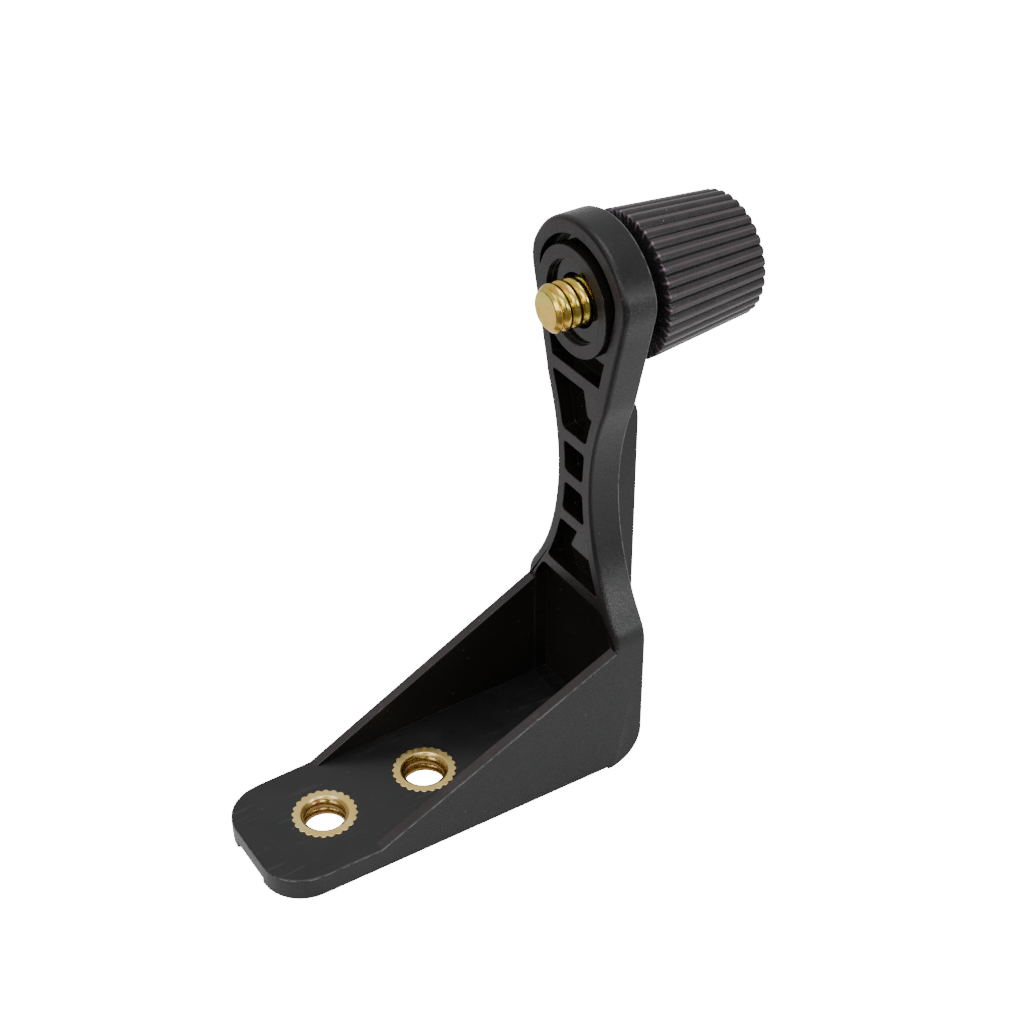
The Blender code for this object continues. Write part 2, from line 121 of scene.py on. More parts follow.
class BracketSettings(bpy.types.PropertyGroup):
    """Edges and colours of the moulding."""
    waist_edge: length("Waist edge", "Radius of the arm's front edge at its waist", 0.45 * MM)
    eye_edge: length("Eye edge", "Radius of the front edge round the eye", 0.75 * MM)
    heel_edge: length("Heel edge", "Radius of the front edge above the side walls", 0.65 * MM)
    toe_edge: length("Toe edge", "Radius of the foot's top edge round the toe", 0.28 * MM)
    fine_edge: length("Fine edge", "Radius of ribs, pockets, rings and wall tops", 0.11 * MM)
    side_color: tint("Side colour", "Grained outer faces", (0.0070, 0.0072, 0.0073))
    face_color: tint(
        "Face colour", "Flat front and top faces, rubbed slightly brown", (0.0112, 0.0080, 0.0084))
    inside_color: tint(
        "Inside colour", "Smooth faces inside pockets and channel", (0.0062, 0.0053, 0.0047))
    floor_color: tint("Foot colour", "Smooth upward faces of the foot", (0.0070, 0.0070, 0.0070))


class HardwareSettings(bpy.types.PropertyGroup):
    """Inserts and clamp screw."""
    thread_crest: length("Nut crest", "Inner radius of the inserts' thread", 2.78 * MM)
    thread_root: length("Screw root", "Radius at the bottom of the screw's grooves", 2.66 * MM)
    teeth: bpy.props.IntProperty(
        name="Teeth", description="Knurl teeth round an insert", default=24, min=6)
    brass_color: tint("Brass", "Inserts", (0.90, 0.64, 0.20))
    plating_color: tint("Plating", "Yellow plating of the clamp screw", (0.78, 0.48, 0.09))


class KnobSettings(bpy.types.PropertyGroup):
    """Fluted knob."""
    flutes: bpy.props.IntProperty(
        name="Flutes", description="Ridges round the knob", default=35, min=8)
    flute_depth: length("Flute depth", "Ridge height above the grooves", 0.42 * MM)
    color: tint("Colour", "Knob plastic", (0.0158, 0.0146, 0.0148))


class StageSettings(bpy.types.PropertyGroup):
    """Floor, light and camera."""
    azimuth: bpy.props.FloatProperty(
        name="Azimuth", description="Camera direction round the object",
        default=math.radians(57.511), unit="ROTATION")
    elevation: bpy.props.FloatProperty(
        name="Elevation", description="Camera height angle",
        default=math.radians(35.916), unit="ROTATION")
    roll: bpy.props.FloatProperty(
        name="Roll", description="Camera turn about its own axis",
        default=math.radians(-0.473), unit="ROTATION")
    distance: bpy.props.FloatProperty(
        name="Distance", description="Camera to its aim point", default=0.26, unit="LENGTH")
    lens: bpy.props.FloatProperty(
        name="Lens", description="Focal length in millimetres", default=63.87)
    sky: bpy.props.FloatProperty(
        name="Sky", description="Strength of the even surrounding light", default=0.8)
    key: bpy.props.FloatProperty(
        name="Key", description="Radiance that the soft boxes are set from", default=2.6)
    floor_color: tint("Floor", "Colour of the floor", (0.86, 0.86, 0.86))


# ---------------------------------------------------------------- mesh helpers

def read(items, key, width, kind=float):
    """One attribute of a mesh collection as an array with `width` columns."""
    values = np.zeros(len(items) * width, kind)
    items.foreach_get(key, values)
    return values.reshape(-1, width) if width > 1 else values


def grid_faces(rows, columns, rows_wrap):
    """Quads between neighbouring rows and columns. Columns wrap round, rows only if asked."""
    i = np.arange(rows if rows_wrap else rows - 1)[:, None]
    j = np.arange(columns)[None, :]
    here = i * columns
    above = (i + 1) % rows * columns
    beside = (j + 1) % columns
    return np.stack((here + j, here + beside, above + beside, above + j), -1).reshape(-1, 4)


def fan_faces(first, columns, pole):
    """Triangles from a ring of points, which starts at index first, to one pole point."""
    j = np.arange(columns)
    return np.stack((first + j, first + (j + 1) % columns, np.full(columns, pole)), -1)


def linked(name, data):
    """A new object in the scene."""
    made = bpy.data.objects.new(name, data)
    bpy.context.scene.collection.objects.link(made)
    return made


def turned_points(along, radii, axis):
    """Points of a turned form: row i, column j stands at distance radii[i, j] from the
    axis, at angle 2 pi j / columns, and at along[i] on the axis. The axis is the clamp
    screw's, along Y, or an upright one through a point (x, y)."""
    columns = radii.shape[1]
    angle = np.arange(columns) * 2 * math.pi / columns
    across = radii * np.cos(angle)
    up = radii * np.sin(angle)
    station = np.broadcast_to(np.asarray(along)[:, None], radii.shape)
    if axis == "clamp":
        points = np.stack((across, station, AXIS_HEIGHT + up), -1)
    else:
        points = np.stack((axis[0] + across, axis[1] + up, station), -1)
    return points.reshape(-1, 3)


def turned_piece(name, along, radii, axis, capped):
    """Mesh of a turned form. Its rows close on themselves, or both ends close on a pole."""
    points = turned_points(along, radii, axis)
    rows, columns = radii.shape
    faces = grid_faces(rows, columns, not capped).tolist()
    if capped:
        ends = points.reshape(rows, columns, 3)[[0, -1]].mean(axis=1)
        points = np.vstack((points, ends))
        faces += fan_faces(0, columns, rows * columns).tolist()
        faces += fan_faces((rows - 1) * columns, columns, rows * columns + 1).tolist()
    return new_piece(name, points, faces)


def new_piece(name, points, faces):
    """Object at the origin from points and faces, its faces turned outwards."""
    mesh = bpy.data.meshes.new(name)
    mesh.from_pydata(points.tolist(), [], faces)
    bm = bmesh.new()
    bm.from_mesh(mesh)
    bmesh.ops.recalc_face_normals(bm, faces=bm.faces)
    bm.to_mesh(mesh)
    bm.free()
    mesh.shade_smooth()
    mesh.set_sharp_from_angle(angle=CREASE_ANGLE)
    return linked(name, mesh)


def place(piece, body, slot, stands_for, *materials):
    """Give a piece its materials and body, and hide the solid that it replaces. The finish slot is not
    used.
    """
    for material in materials:
        piece.data.materials.append(material)
    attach(piece, body)
    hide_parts(stands_for)


def eased(corners, ease, closed=True, steps=4):
    """Polyline whose corners are rounded: each corner becomes a quadratic curve that
    starts and ends `ease` before and after it, or a third of a shorter side."""
    corners = np.asarray(corners, float)
    before = np.roll(corners, 1, axis=0) - corners
    after = np.roll(corners, -1, axis=0) - corners
    length_before = np.linalg.norm(before, axis=1)[:, None]
    length_after = np.linalg.norm(after, axis=1)[:, None]
    start = corners + before / length_before * np.minimum(ease, length_before / 3)
    end = corners + after / length_after * np.minimum(ease, length_after / 3)
    t = np.linspace(0, 1, steps + 1)[None, :, None]
    curve = (1 - t) ** 2 * start[:, None] + 2 * t * (1 - t) * corners[:, None] + t ** 2 * end[:, None]
    if not closed:
        middle = curve[1:-1].reshape(-1, 2)
        return np.vstack((corners[:1], middle, corners[-1:]))
    return curve.reshape(-1, 2)


def refine(profile, spacing, closed=True):
    """The same polyline with points no further apart than the spacing: each side is cut
    into the fewest equal steps that are short enough."""
    ends = np.roll(profile, -1, axis=0) if closed else profile[1:]
    starts = profile if closed else profile[:-1]
    sides = ends - starts
    counts = np.ceil(np.linalg.norm(sides, axis=1) / spacing).clip(1).astype(int)
    owner = np.repeat(np.arange(len(sides)), counts)
    step = np.arange(len(owner)) - np.repeat(np.cumsum(counts) - counts, counts)
    points = starts[owner] + sides[owner] * (step / counts[owner])[:, None]
    return points if closed else np.vstack((points, profile[-1:]))


def thread_wave(along, columns, start):
    """Height of a right-hand thread, 1 on the crest and 0 in the groove: the absolute
    cosine of half a turn per pitch, raised to a low power so that crests are broad and
    round and grooves are narrow. It climbs one pitch each turn, and at angle 0 a crest
    stands at the start."""
    turn = np.arange(columns)[None, :] / columns
    phase = (np.asarray(along)[:, None] - start) / THREAD_PITCH - turn
    return np.abs(np.cos(math.pi * phase)) ** THREAD_POWER


def smooth_step(low, high, values):
    """0 below low, 1 above high, and a smooth cubic between."""
    t = np.clip((values - low) / (high - low), 0, 1)
    return t * t * (3 - 2 * t)


# ---------------------------------------------------------------- node helpers

def add(tree, kind, inputs=None, **settings):
    """One shader node. Settings are its own choices; inputs are constants, or the
    sockets that feed it."""
    made = tree.nodes.new("ShaderNode" + kind)
    for key, value in settings.items():
        setattr(made, key, value)
    for key, value in (inputs or {}).items():
        if isinstance(value, bpy.types.NodeSocket):
            tree.links.new(value, made.inputs[key])
        else:
            made.inputs[key].default_value = value
    return made


def new_group(name, inputs, outputs):
    """Shader node group with named sockets, and its two end nodes."""
    group = bpy.data.node_groups.new(name, "ShaderNodeTree")
    for label, kind, default in inputs:
        socket = group.interface.new_socket(label, in_out="INPUT", socket_type="NodeSocket" + kind)
        socket.default_value = default
    for label in outputs:
        group.interface.new_socket(label, in_out="OUTPUT", socket_type="NodeSocketFloat")
    return group, group.nodes.new("NodeGroupInput"), group.nodes.new("NodeGroupOutput")


def math_node(tree, operation, *values):
    """Output of a math node on constants or sockets."""
    return add(tree, "Math", dict(enumerate(values)), operation=operation).outputs[0]


def vector_node(tree, operation, first, second):
    """A vector math node on constants or sockets."""
    return add(tree, "VectorMath", {0: first, 1: second}, operation=operation)


def noise(tree, vector, scale, detail):
    """Output of a noise: its scale in waves per metre and its detail in octaves."""
    return add(tree, "TexNoise", {"Vector": vector, "Scale": scale, "Detail": detail}).outputs[0]


def ramp_value(tree, value, low, high, to_low=0.0, to_high=1.0):
    """Output of a smooth map from one range to another."""
    inputs = {"Value": value, "From Min": low, "From Max": high, "To Min": to_low, "To Max": to_high}
    return add(tree, "MapRange", inputs, interpolation_type="SMOOTHSTEP").outputs["Result"]


def mix_color(tree, factor, first, second):
    """Output of a colour mix."""
    made = add(tree, "Mix", data_type="RGBA")
    for socket, value in ((made.inputs[0], factor), (made.inputs[6], first), (made.inputs[7], second)):
        if isinstance(value, bpy.types.NodeSocket):
            tree.links.new(value, socket)
        elif isinstance(value, float):
            socket.default_value = value
        else:
            socket.default_value = (*value, 1.0)
    return made.outputs[2]


def grain_group():
    """Moulded grain: two sizes of noise as a height, a mask of its brightest grains for painted glints
    (painted highlights), and wide clouds."""
    sockets = [("Vector", "Vector", (0, 0, 0)), ("Grain", "Float", 4000.0)]
    group, ins, outs = new_group("moulded_grain", sockets, ("Height", "Painted glint", "Cloud"))
    finer = math_node(group, "MULTIPLY", ins.outputs["Grain"], 2.3)
    wide = math_node(group, "MULTIPLY", ins.outputs["Grain"], 0.04)
    coarse = noise(group, ins.outputs[0], ins.outputs["Grain"], 2.0)
    fine = noise(group, ins.outputs[0], finer, 1.0)
    cloud = noise(group, ins.outputs[0], wide, 3.0)
    group.links.new(math_node(group, "MULTIPLY_ADD", fine, 0.5, coarse), outs.inputs["Height"])
    # fine grains above this level get painted glints: painted highlights that lift colour
    group.links.new(ramp_value(group, fine, 0.56, 0.70), outs.inputs["Painted glint"])
    group.links.new(ramp_value(group, cloud, 0.35, 0.65), outs.inputs["Cloud"])
    return group


def marks_group():
    """Handling marks: long thin scratches along one axis, and a few tiny specks of dust."""
    sockets = [("Vector", "Vector", (0, 0, 0)), ("Stretch", "Vector", (2500.0, 120.0, 2500.0))]
    group, ins, outs = new_group("handling_marks", sockets, ("Scratches", "Specks"))
    stretched = vector_node(group, "MULTIPLY", ins.outputs[0], ins.outputs["Stretch"])
    streaks = noise(group, stretched.outputs[0], 1.0, 4.0)
    patches = noise(group, ins.outputs[0], 160.0, 2.0)
    narrow = ramp_value(group, streaks, 0.56, 0.72)
    where = ramp_value(group, patches, 0.42, 0.62)
    dust = add(group, "TexVoronoi", {"Vector": ins.outputs[0], "Scale": 420.0, "Randomness": 1.0})
    near = ramp_value(group, dust.outputs["Distance"], 0.035, 0.06, 1.0, 0.0)
    group.links.new(math_node(group, "MULTIPLY", narrow, where), outs.inputs["Scratches"])
    group.links.new(near, outs.inputs["Specks"])
    return group


def seam_highlight_group():
    """Painted highlight along the parting seam: a broken bright line at a given distance from an edge."""
    sockets = [
        ("Vector", "Vector", (0, 0, 0)), ("Distance", "Float", 1.0),
        ("Near", "Float", 0.1 * MM), ("Width", "Float", 0.12 * MM),
    ]
    group, ins, outs = new_group("seam_highlight", sockets, ("Line",))
    away = math_node(group, "SUBTRACT", ins.outputs["Distance"], ins.outputs["Near"])
    share = math_node(group, "DIVIDE", math_node(group, "ABSOLUTE", away), ins.outputs["Width"])
    line = ramp_value(group, share, 0.5, 1.0, 1.0, 0.0)
    dash = noise(group, ins.outputs[0], 900.0, 3.0)
    broken = ramp_value(group, dash, 0.38, 0.56, 0.25, 1.0)
    group.links.new(math_node(group, "MULTIPLY", line, broken), outs.inputs["Line"])
    return group


def metal_group():
    """Turned metal: cloudy tint, fine turning lines as a height, and dull patches."""
    sockets = [
        ("Vector", "Vector", (0, 0, 0)), ("Axis", "Vector", (0.0, 0.0, 1.0)), ("Lines", "Float", 9000.0),
    ]
    group, ins, outs = new_group("turned_metal", sockets, ("Tint", "Height", "Dull"))
    along = vector_node(group, "DOT_PRODUCT", ins.outputs[0], ins.outputs["Axis"])
    station = add(group, "CombineXYZ", {0: along.outputs["Value"]})
    lines = noise(group, station.outputs[0], ins.outputs["Lines"], 2.0)
    tint = noise(group, ins.outputs[0], 380.0, 3.0)
    dull = noise(group, ins.outputs[0], 1500.0, 4.0)
    group.links.new(ramp_value(group, tint, 0.38, 0.62), outs.inputs["Tint"])
    group.links.new(lines, outs.inputs["Height"])
    group.links.new(ramp_value(group, dull, 0.45, 0.70), outs.inputs["Dull"])
    return group


def use_group(tree, maker, name, **inputs):
    """Place a shader group in a material. The group is made on first use."""
    return add(tree, "Group", inputs, node_tree=bpy.data.node_groups.get(name) or maker())


# ---------------------------------------------------------------- materials

CLOUD_SHADES = (0.85, 1.15)      # darkest and palest clouds, as shares of the colour
CLOUD_GLOSS = (0.92, 1.08)       # and as shares of the roughness
SPECK_LIFT = 0.5                 # how far dust lifts colour
LIFT_ROUGHNESS = 0.12            # added where colour is fully lifted
SCRATCH_DEPTH = 0.6              # as a share of the grain's height
DULL_SHARE = 0.35                # how far dull patches change a metal's colour
DULL_SHADE = 0.72                # colour of dull patches, as a share
DULL_ROUGHNESS = 0.14            # added in dull patches
LINE_STRENGTH = 0.6              # bump of a metal's turning lines
PAINTED_SPARKLE_SPOTS = (              # depth, height and reach of spots with more painted glints
    (2.6 * MM, 71.6 * MM, 4.2 * MM), (2.3 * MM, 27.0 * MM, 6.0 * MM),
)
PAINTED_SPARKLE_PEAK = 1.4              # extra painted glints in their middle
ALONG_INSERT = (0.0, 0.0, 1.0)
ALONG_SCREW = (0.0, 1.0, 0.0)
SHADE_DIRECTION = (0.64, -0.77, 0.0)  # across the floor, to the studio's open side
SHADE_START = 34 * MM            # floor begins to darken this far along the direction
SHADE_END = 62 * MM
SHADE_LEFT = 0.12                # share of the floor's colour beyond
FLOOR_GLOW = 16.0                # floor's own light, for the camera only


def new_material(name, **shader_values):
    """Principled material with constants set on its own sockets, and its object coordinates."""
    material = bpy.data.materials.new(name)
    material.use_nodes = True
    tree = material.node_tree
    shader = tree.nodes["Principled BSDF"]
    for key, value in shader_values.items():
        shader.inputs[key.replace("_", " ")].default_value = value
    coordinates = add(tree, "TexCoord").outputs["Object"]
    return material, tree, shader, coordinates


def bump_into(tree, shader, height, strength, distance):
    """Feed a height to the shader's normal."""
    made = add(tree, "Bump", {"Strength": strength, "Distance": distance, "Height": height})
    tree.links.new(made.outputs[0], shader.inputs["Normal"])


def scaled(color, factor):
    """A colour made lighter or darker."""
    return tuple(min(1.0, part * factor) for part in color)


def plastic(
        name, color, roughness, grain_size, depth, painted_glint, scratch, specular=0.42,
        seam=None, painted_sparkle_spots=None, crest_highlight="", mark_and_highlight_gain=(14.0, 14.0, 14.0)):
    """Black moulded plastic: clouded colour, grain in the normal, painted glints (painted highlights on
    the brightest grains) and scratches that lift colour and change gloss. The seam is a function that
    gives the distance of a line, the parting seam, along which a painted highlight runs, and the next
    function gives more painted glints in places. An attribute of the mesh, when named, lifts colour too,
    as a painted highlight. The last argument tells how many times brighter lifted colour, of scratches,
    dust and painted highlights alike, is in red, green and blue."""
    material, tree, shader, place_vector = new_material(name)
    shader.inputs["Specular IOR Level"].default_value = specular
    grain = use_group(tree, grain_group, "moulded_grain", Vector=place_vector, Grain=1 / grain_size)
    marks = use_group(tree, marks_group, "handling_marks", Vector=place_vector)
    base = mix_color(tree, grain.outputs["Cloud"], *(scaled(color, share) for share in CLOUD_SHADES))
    # more painted glints, painted highlights, in the painted sparkle spots
    share = math_node(tree, "ADD", painted_sparkle_spots(tree, place_vector), painted_glint) if painted_sparkle_spots else painted_glint
    # painted glints: the brightest grains lifted to a painted highlight
    lit = math_node(tree, "MULTIPLY", grain.outputs["Painted glint"], share)
    wear_and_highlight = math_node(tree, "MULTIPLY", marks.outputs["Scratches"], scratch)
    dusty = math_node(tree, "MULTIPLY", marks.outputs["Specks"], SPECK_LIFT)
    lift = math_node(tree, "MAXIMUM", lit, wear_and_highlight)
    lift = math_node(tree, "MAXIMUM", lift, dusty)
    # a mesh attribute that lifts colour as a painted highlight
    if crest_highlight:
        highlight_attribute = add(tree, "Attribute", attribute_name=crest_highlight).outputs["Fac"]
        lift = math_node(tree, "MAXIMUM", lift, highlight_attribute)
    # a painted highlight along the parting seam lifts colour
    if seam:
        distance = seam(tree, place_vector)
        line = use_group(tree, seam_highlight_group, "seam_highlight", Vector=place_vector, Distance=distance)
        lift = math_node(tree, "MAXIMUM", lift, line.outputs["Line"])
    # colour that scratches, dust and painted highlights lift to
    mark_and_highlight_color = tuple(part * more for part, more in zip(color, mark_and_highlight_gain))
    bright = mix_color(tree, lift, base, mark_and_highlight_color)
    tree.links.new(bright, shader.inputs["Base Color"])
    glossy, dull = (roughness * share for share in CLOUD_GLOSS)
    rough = ramp_value(tree, grain.outputs["Cloud"], 0.0, 1.0, glossy, dull)
    rough = math_node(tree, "MULTIPLY_ADD", lift, LIFT_ROUGHNESS, rough)
    tree.links.new(rough, shader.inputs["Roughness"])
    cut = -SCRATCH_DEPTH * scratch
    height = math_node(tree, "MULTIPLY_ADD", marks.outputs["Scratches"], cut, grain.outputs["Height"])
    bump_into(tree, shader, height, 1.0, depth)
    return material


def painted_sparkle_share(tree, vector):
    """Share of extra painted glints, painted highlights on the arm's sides: full in the middle of two
    spots, at the eye's widest part and at the heel's flare, and none beyond their reach."""
    side = vector_node(tree, "MULTIPLY", vector, (0.0, 1.0, 1.0)).outputs[0]
    shares = []
    for depth, height, reach in PAINTED_SPARKLE_SPOTS:
        spot = (0.0, ARM_FRONT + depth, FOOT_UNDER + height)
        away = vector_node(tree, "DISTANCE", side, spot).outputs["Value"]
        shares.append(ramp_value(tree, away, 0.3 * reach, reach, PAINTED_SPARKLE_PEAK, 0.0))
    return math_node(tree, "MAXIMUM", *shares)


def edge_distance(tree, vector):
    """How far a side face's point is below the top edge of foot and walls, or ahead of
    the arm's rear edge, whichever is nearer."""
    split = add(tree, "SeparateXYZ", {0: vector})
    depth = math_node(tree, "SUBTRACT", split.outputs[1], ARM_FRONT)
    height = math_node(tree, "SUBTRACT", split.outputs[2], FOOT_UNDER)
    slope = (WALL_RISE - FOOT_THICK) / WALL_START
    sloping = math_node(tree, "MULTIPLY_ADD", depth, slope, WALL_RISE)
    top = math_node(tree, "MAXIMUM", sloping, FOOT_THICK)
    below = math_node(tree, "SUBTRACT", top, height)
    behind = math_node(tree, "GREATER_THAN", depth, 0.0)
    below = math_node(tree, "ADD", below, behind)
    rear = math_node(tree, "ABSOLUTE", math_node(tree, "SUBTRACT", ARM_DEPTH, depth))
    return math_node(tree, "MINIMUM", below, rear)


def metal(name, color, second, roughness, axis, lines, line_depth):
    """Plated or bare metal: two tints in clouds, turning lines across the axis, so many
    to the metre, and dull patches."""
    material, tree, shader, place_vector = new_material(name, Metallic=1.0)
    finish = use_group(tree, metal_group, "turned_metal", Vector=place_vector, Axis=axis, Lines=lines)
    tinted = mix_color(tree, finish.outputs["Tint"], color, second)
    share = math_node(tree, "MULTIPLY", finish.outputs["Dull"], DULL_SHARE)
    dulled = mix_color(tree, share, tinted, scaled(color, DULL_SHADE))
    tree.links.new(dulled, shader.inputs["Base Color"])
    rough = math_node(tree, "MULTIPLY_ADD", finish.outputs["Dull"], DULL_ROUGHNESS, roughness)
    tree.links.new(rough, shader.inputs["Roughness"])
    bump_into(tree, shader, finish.outputs["Height"], LINE_STRENGTH, line_depth)
    return material


def floor_material(settings):
    """Pale matt floor, lifted for the camera only as a lit sweep is, so that little of
    that lift shines on the object. Its light falls off towards the open side of the
    studio: the shade grows with the distance beyond a line ahead of the bracket."""
    material, tree, shader, place_vector = new_material("pale_sweep", Roughness=0.9)
    ahead = vector_node(tree, "DOT_PRODUCT", place_vector, SHADE_DIRECTION)
    shade = ramp_value(tree, ahead.outputs["Value"], SHADE_START, SHADE_END)
    color = mix_color(tree, shade, settings.floor_color, scaled(settings.floor_color, SHADE_LEFT))
    tree.links.new(color, shader.inputs["Base Color"])
    seen = add(tree, "LightPath").outputs["Is Camera Ray"]
    glow = mix_color(tree, seen, (0.0, 0.0, 0.0), (1.0, 1.0, 1.0))
    tree.links.new(glow, shader.inputs["Emission Color"])
    shader.inputs["Emission Strength"].default_value = FLOOR_GLOW
    return material


# ---------------------------------------------------------------- bracket

EDGE_ANGLE = math.radians(30)    # sharper edges of the moulding are eased
SHORTEST_EASED = 0.12 * MM       # shorter edges stay as they are
EASING_STEPS = 4
FLAT_FACE_WEIGHT = 60            # how strongly flat faces keep their own shading
CHANNEL_HALF_WIDTH = 9.4 * MM
INSIDE_DEPTH = 2.1 * MM          # channel and pockets end before this depth
HEEL_SHARE = 0.6                 # edge radius at the wall tops, as a share of the heel's
RAMP_HEIGHTS = np.array((20.7, 23.0, 31.0, 37.0, 53.0, 59.0, 65.0)) * MM  # of the front edge's radius


def edge_facts(mesh):
    """Middle of each edge, the unit normals of the two faces that meet there, and its
    length. Loops sorted by edge come in pairs, and each loop knows its face."""
    ends = read(mesh.edges, "vertices", 2, int)
    points = read(mesh.vertices, "co", 3)
    loop_face = np.repeat(np.arange(len(mesh.polygons)), read(mesh.polygons, "loop_total", 1, int))
    pairs = loop_face[np.argsort(read(mesh.loops, "edge_index", 1, int), kind="stable")].reshape(-1, 2)
    normals = read(mesh.polygons, "normal", 3)
    length = np.linalg.norm(points[ends[:, 0]] - points[ends[:, 1]], axis=1)
    return points[ends].mean(axis=1), normals[pairs[:, 0]], normals[pairs[:, 1]], length


def front_edge_radius(height, settings):
    """Radius of the arm's outer front edge by height: heel, waist and eye values joined
    by straight ramps between the ramp heights."""
    waist, heel, eye = settings.waist_edge, settings.heel_edge, settings.eye_edge
    radii = (heel * HEEL_SHARE, heel, heel, waist, waist, (waist + eye) / 2, eye)
    return np.interp(height, RAMP_HEIGHTS, radii)


def edge_radii(mesh, settings):
    """Easing radius of every edge of the moulding, and which edges are creases. Flat and
    nearly flat edges get no radius, creases the fine radius, and the arm's front outline
    and the toe their own."""
    middle, first, second, length = edge_facts(mesh)
    depth = middle[:, 1] - ARM_FRONT
    height = middle[:, 2] - FOOT_UNDER
    crease = (first * second).sum(axis=1) < math.cos(EDGE_ANGLE)
    radius = np.where(crease, settings.fine_edge, 0.0)
    tiny = 0.02 * MM
    side = np.where(first[:, 1:2] < -0.9, second, first)
    beside = np.sign(middle[:, 0]) * side[:, 0] > 0.2
    from_axis = np.hypot(middle[:, 0], middle[:, 2] - AXIS_HEIGHT)
    round_eye = (height > AXIS_HEIGHT - FOOT_UNDER) & (from_axis > EYE_RADIUS - 1.0 * MM)
    front = crease & (np.abs(depth) < tiny) & (beside | round_eye) & (height > WALL_RISE - tiny)
    radius = np.where(front, front_edge_radius(height, settings), radius)
    upward = np.maximum(first[:, 2], second[:, 2]) > 0.9
    outer = np.abs(np.where(first[:, 2:3] > 0.9, second, first)[:, 2]) < 0.3
    at_top = np.abs(height - FOOT_THICK) < tiny
    toe = crease & upward & outer & at_top & (depth < -WALL_START - tiny)
    hole = np.hypot(middle[:, 0], middle[:, 1] - insert_centre("toe_insert")[1]) < HOLE_REACH
    radius = np.where(toe & ~hole, settings.toe_edge, radius)
    return np.where(length < SHORTEST_EASED, 0.0, radius), crease


def face_materials(mesh):
    """Finish of every face: 0 grained sides, 1 rubbed flat faces, 2 polished pockets, 3 the
    foot's upward faces, 4 the channel's walls, 5 the walls' tops."""
    normals = read(mesh.polygons, "normal", 3)
    centres = read(mesh.polygons, "center", 3)
    depth = centres[:, 1] - ARM_FRONT
    height = centres[:, 2] - FOOT_UNDER
    tiny = 0.05 * MM
    lip = 0.6 * MM
    seat = np.abs(depth + EYE_PROUD) < tiny
    front = (normals[:, 1] < -0.9) & ((np.abs(depth) < tiny) | seat)
    upward = (normals[:, 2] > 0.8) & (depth < tiny) & (height > FOOT_THICK - 2 * tiny)
    from_axis = np.hypot(centres[:, 0], centres[:, 2] - AXIS_HEIGHT)
    towards_middle = centres[:, 0] * normals[:, 0] < -0.2 * np.abs(centres[:, 0])
    between = np.abs(centres[:, 0]) < CHANNEL_HALF_WIDTH
    inside = (between & (depth > -lip) & ~front) | towards_middle
    inside &= (height > FOOT_THICK) & (depth < INSIDE_DEPTH)
    outer_arc = (from_axis > EYE_RADIUS - 1 * MM) & (height > AXIS_HEIGHT)
    inside &= ~outer_arc
    foot_top = (normals[:, 2] > 0.95) & (depth < tiny) & (np.abs(height - FOOT_THICK) < 2 * tiny)
    finish = np.where(front | upward, 1, np.where(inside, 2, 0))
    channel = inside & (height < WALL_RISE + 0.5 * MM)
    finish = np.where(channel, 4, np.where(upward, 5, finish))
    return np.where(foot_top, 3, finish)


def insert_centre(node):
    """Axis of an insert as (x, y)."""
    low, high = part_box(node)
    return ((low.x + high.x) / 2, (low.y + high.y) / 2)


def moulding_mesh():
    """A merged copy of the solid's mesh, its foot's top made level, parted down the middle
    and then with its flat faces made whole again. Each hole for an insert is drawn in, by
    scaling its distance from the insert's axis, until the plastic fills the knurl."""
    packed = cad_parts["bracket_body"].data.copy()
    points = read(packed.vertices, "co", 3)
    foot_top = FOOT_UNDER + FOOT_THICK
    on_foot = (np.abs(points[:, 2] - foot_top) < FOOT_STEP) & (points[:, 1] < ARM_FRONT)
    points[on_foot, 2] = foot_top
    packed.vertices.foreach_set("co", points.ravel())
    bm = bmesh.new()
    bm.from_mesh(packed)
    bpy.data.meshes.remove(packed)
    bmesh.ops.remove_doubles(bm, verts=bm.verts, dist=0.002 * MM)
    everything = bm.verts[:] + bm.edges[:] + bm.faces[:]
    parted = bmesh.ops.bisect_plane(
        bm, geom=everything, dist=0.001 * MM, plane_co=(0, 0, 0), plane_no=(1, 0, 0))
    for item in parted["geom_cut"]:
        if isinstance(item, bmesh.types.BMEdge):
            item.seam = True
    bmesh.ops.dissolve_limit(
        bm, angle_limit=math.radians(0.3), verts=bm.verts, edges=bm.edges,
        use_dissolve_boundaries=False, delimit={"SEAM"})
    mesh = bpy.data.meshes.new("bracket_moulding")
    bm.to_mesh(mesh)
    bm.free()
    points = read(mesh.vertices, "co", 3)
    for node in ("toe_insert", "rear_insert"):
        centre = np.array(insert_centre(node))
        away = points[:, :2] - centre
        distance = np.linalg.norm(away, axis=1)
        hole = (distance < HOLE_REACH) & (points[:, 2] < FOOT_UNDER + FOOT_THICK + 0.1 * MM)
        points[hole, :2] = centre + away[hole] / distance[hole, None] * GRIP_RADIUS
    mesh.vertices.foreach_set("co", points.ravel())
    mesh.update()
    return mesh


def make_moulding(settings):
    """The moulded body: the packed form with every edge eased by its own radius."""
    mesh = moulding_mesh()
    radii, crease = edge_radii(mesh, settings)
    widest = float(radii.max())
    weights = mesh.attributes.new("bevel_weight_edge", "FLOAT", "EDGE")
    weights.data.foreach_set("value", (radii / widest).astype(np.float32))
    mesh.polygons.foreach_set("material_index", face_materials(mesh).astype(np.int32))
    mesh.shade_smooth()
    sharp = mesh.attributes.new("sharp_edge", "BOOLEAN", "EDGE")
    sharp.data.foreach_set("value", crease & (radii == 0))
    piece = linked("bracket_moulding", mesh)
    bevel = piece.modifiers.new("eased edges", "BEVEL")
    bevel.limit_method = "WEIGHT"
    bevel.width = widest
    bevel.segments = EASING_STEPS
    bevel.use_clamp_overlap = False
    bevel.miter_outer = "MITER_SHARP"
    normals = piece.modifiers.new("flat faces stay flat", "WEIGHTED_NORMAL")
    normals.weight = FLAT_FACE_WEIGHT
    normals.keep_sharp = True
    return piece


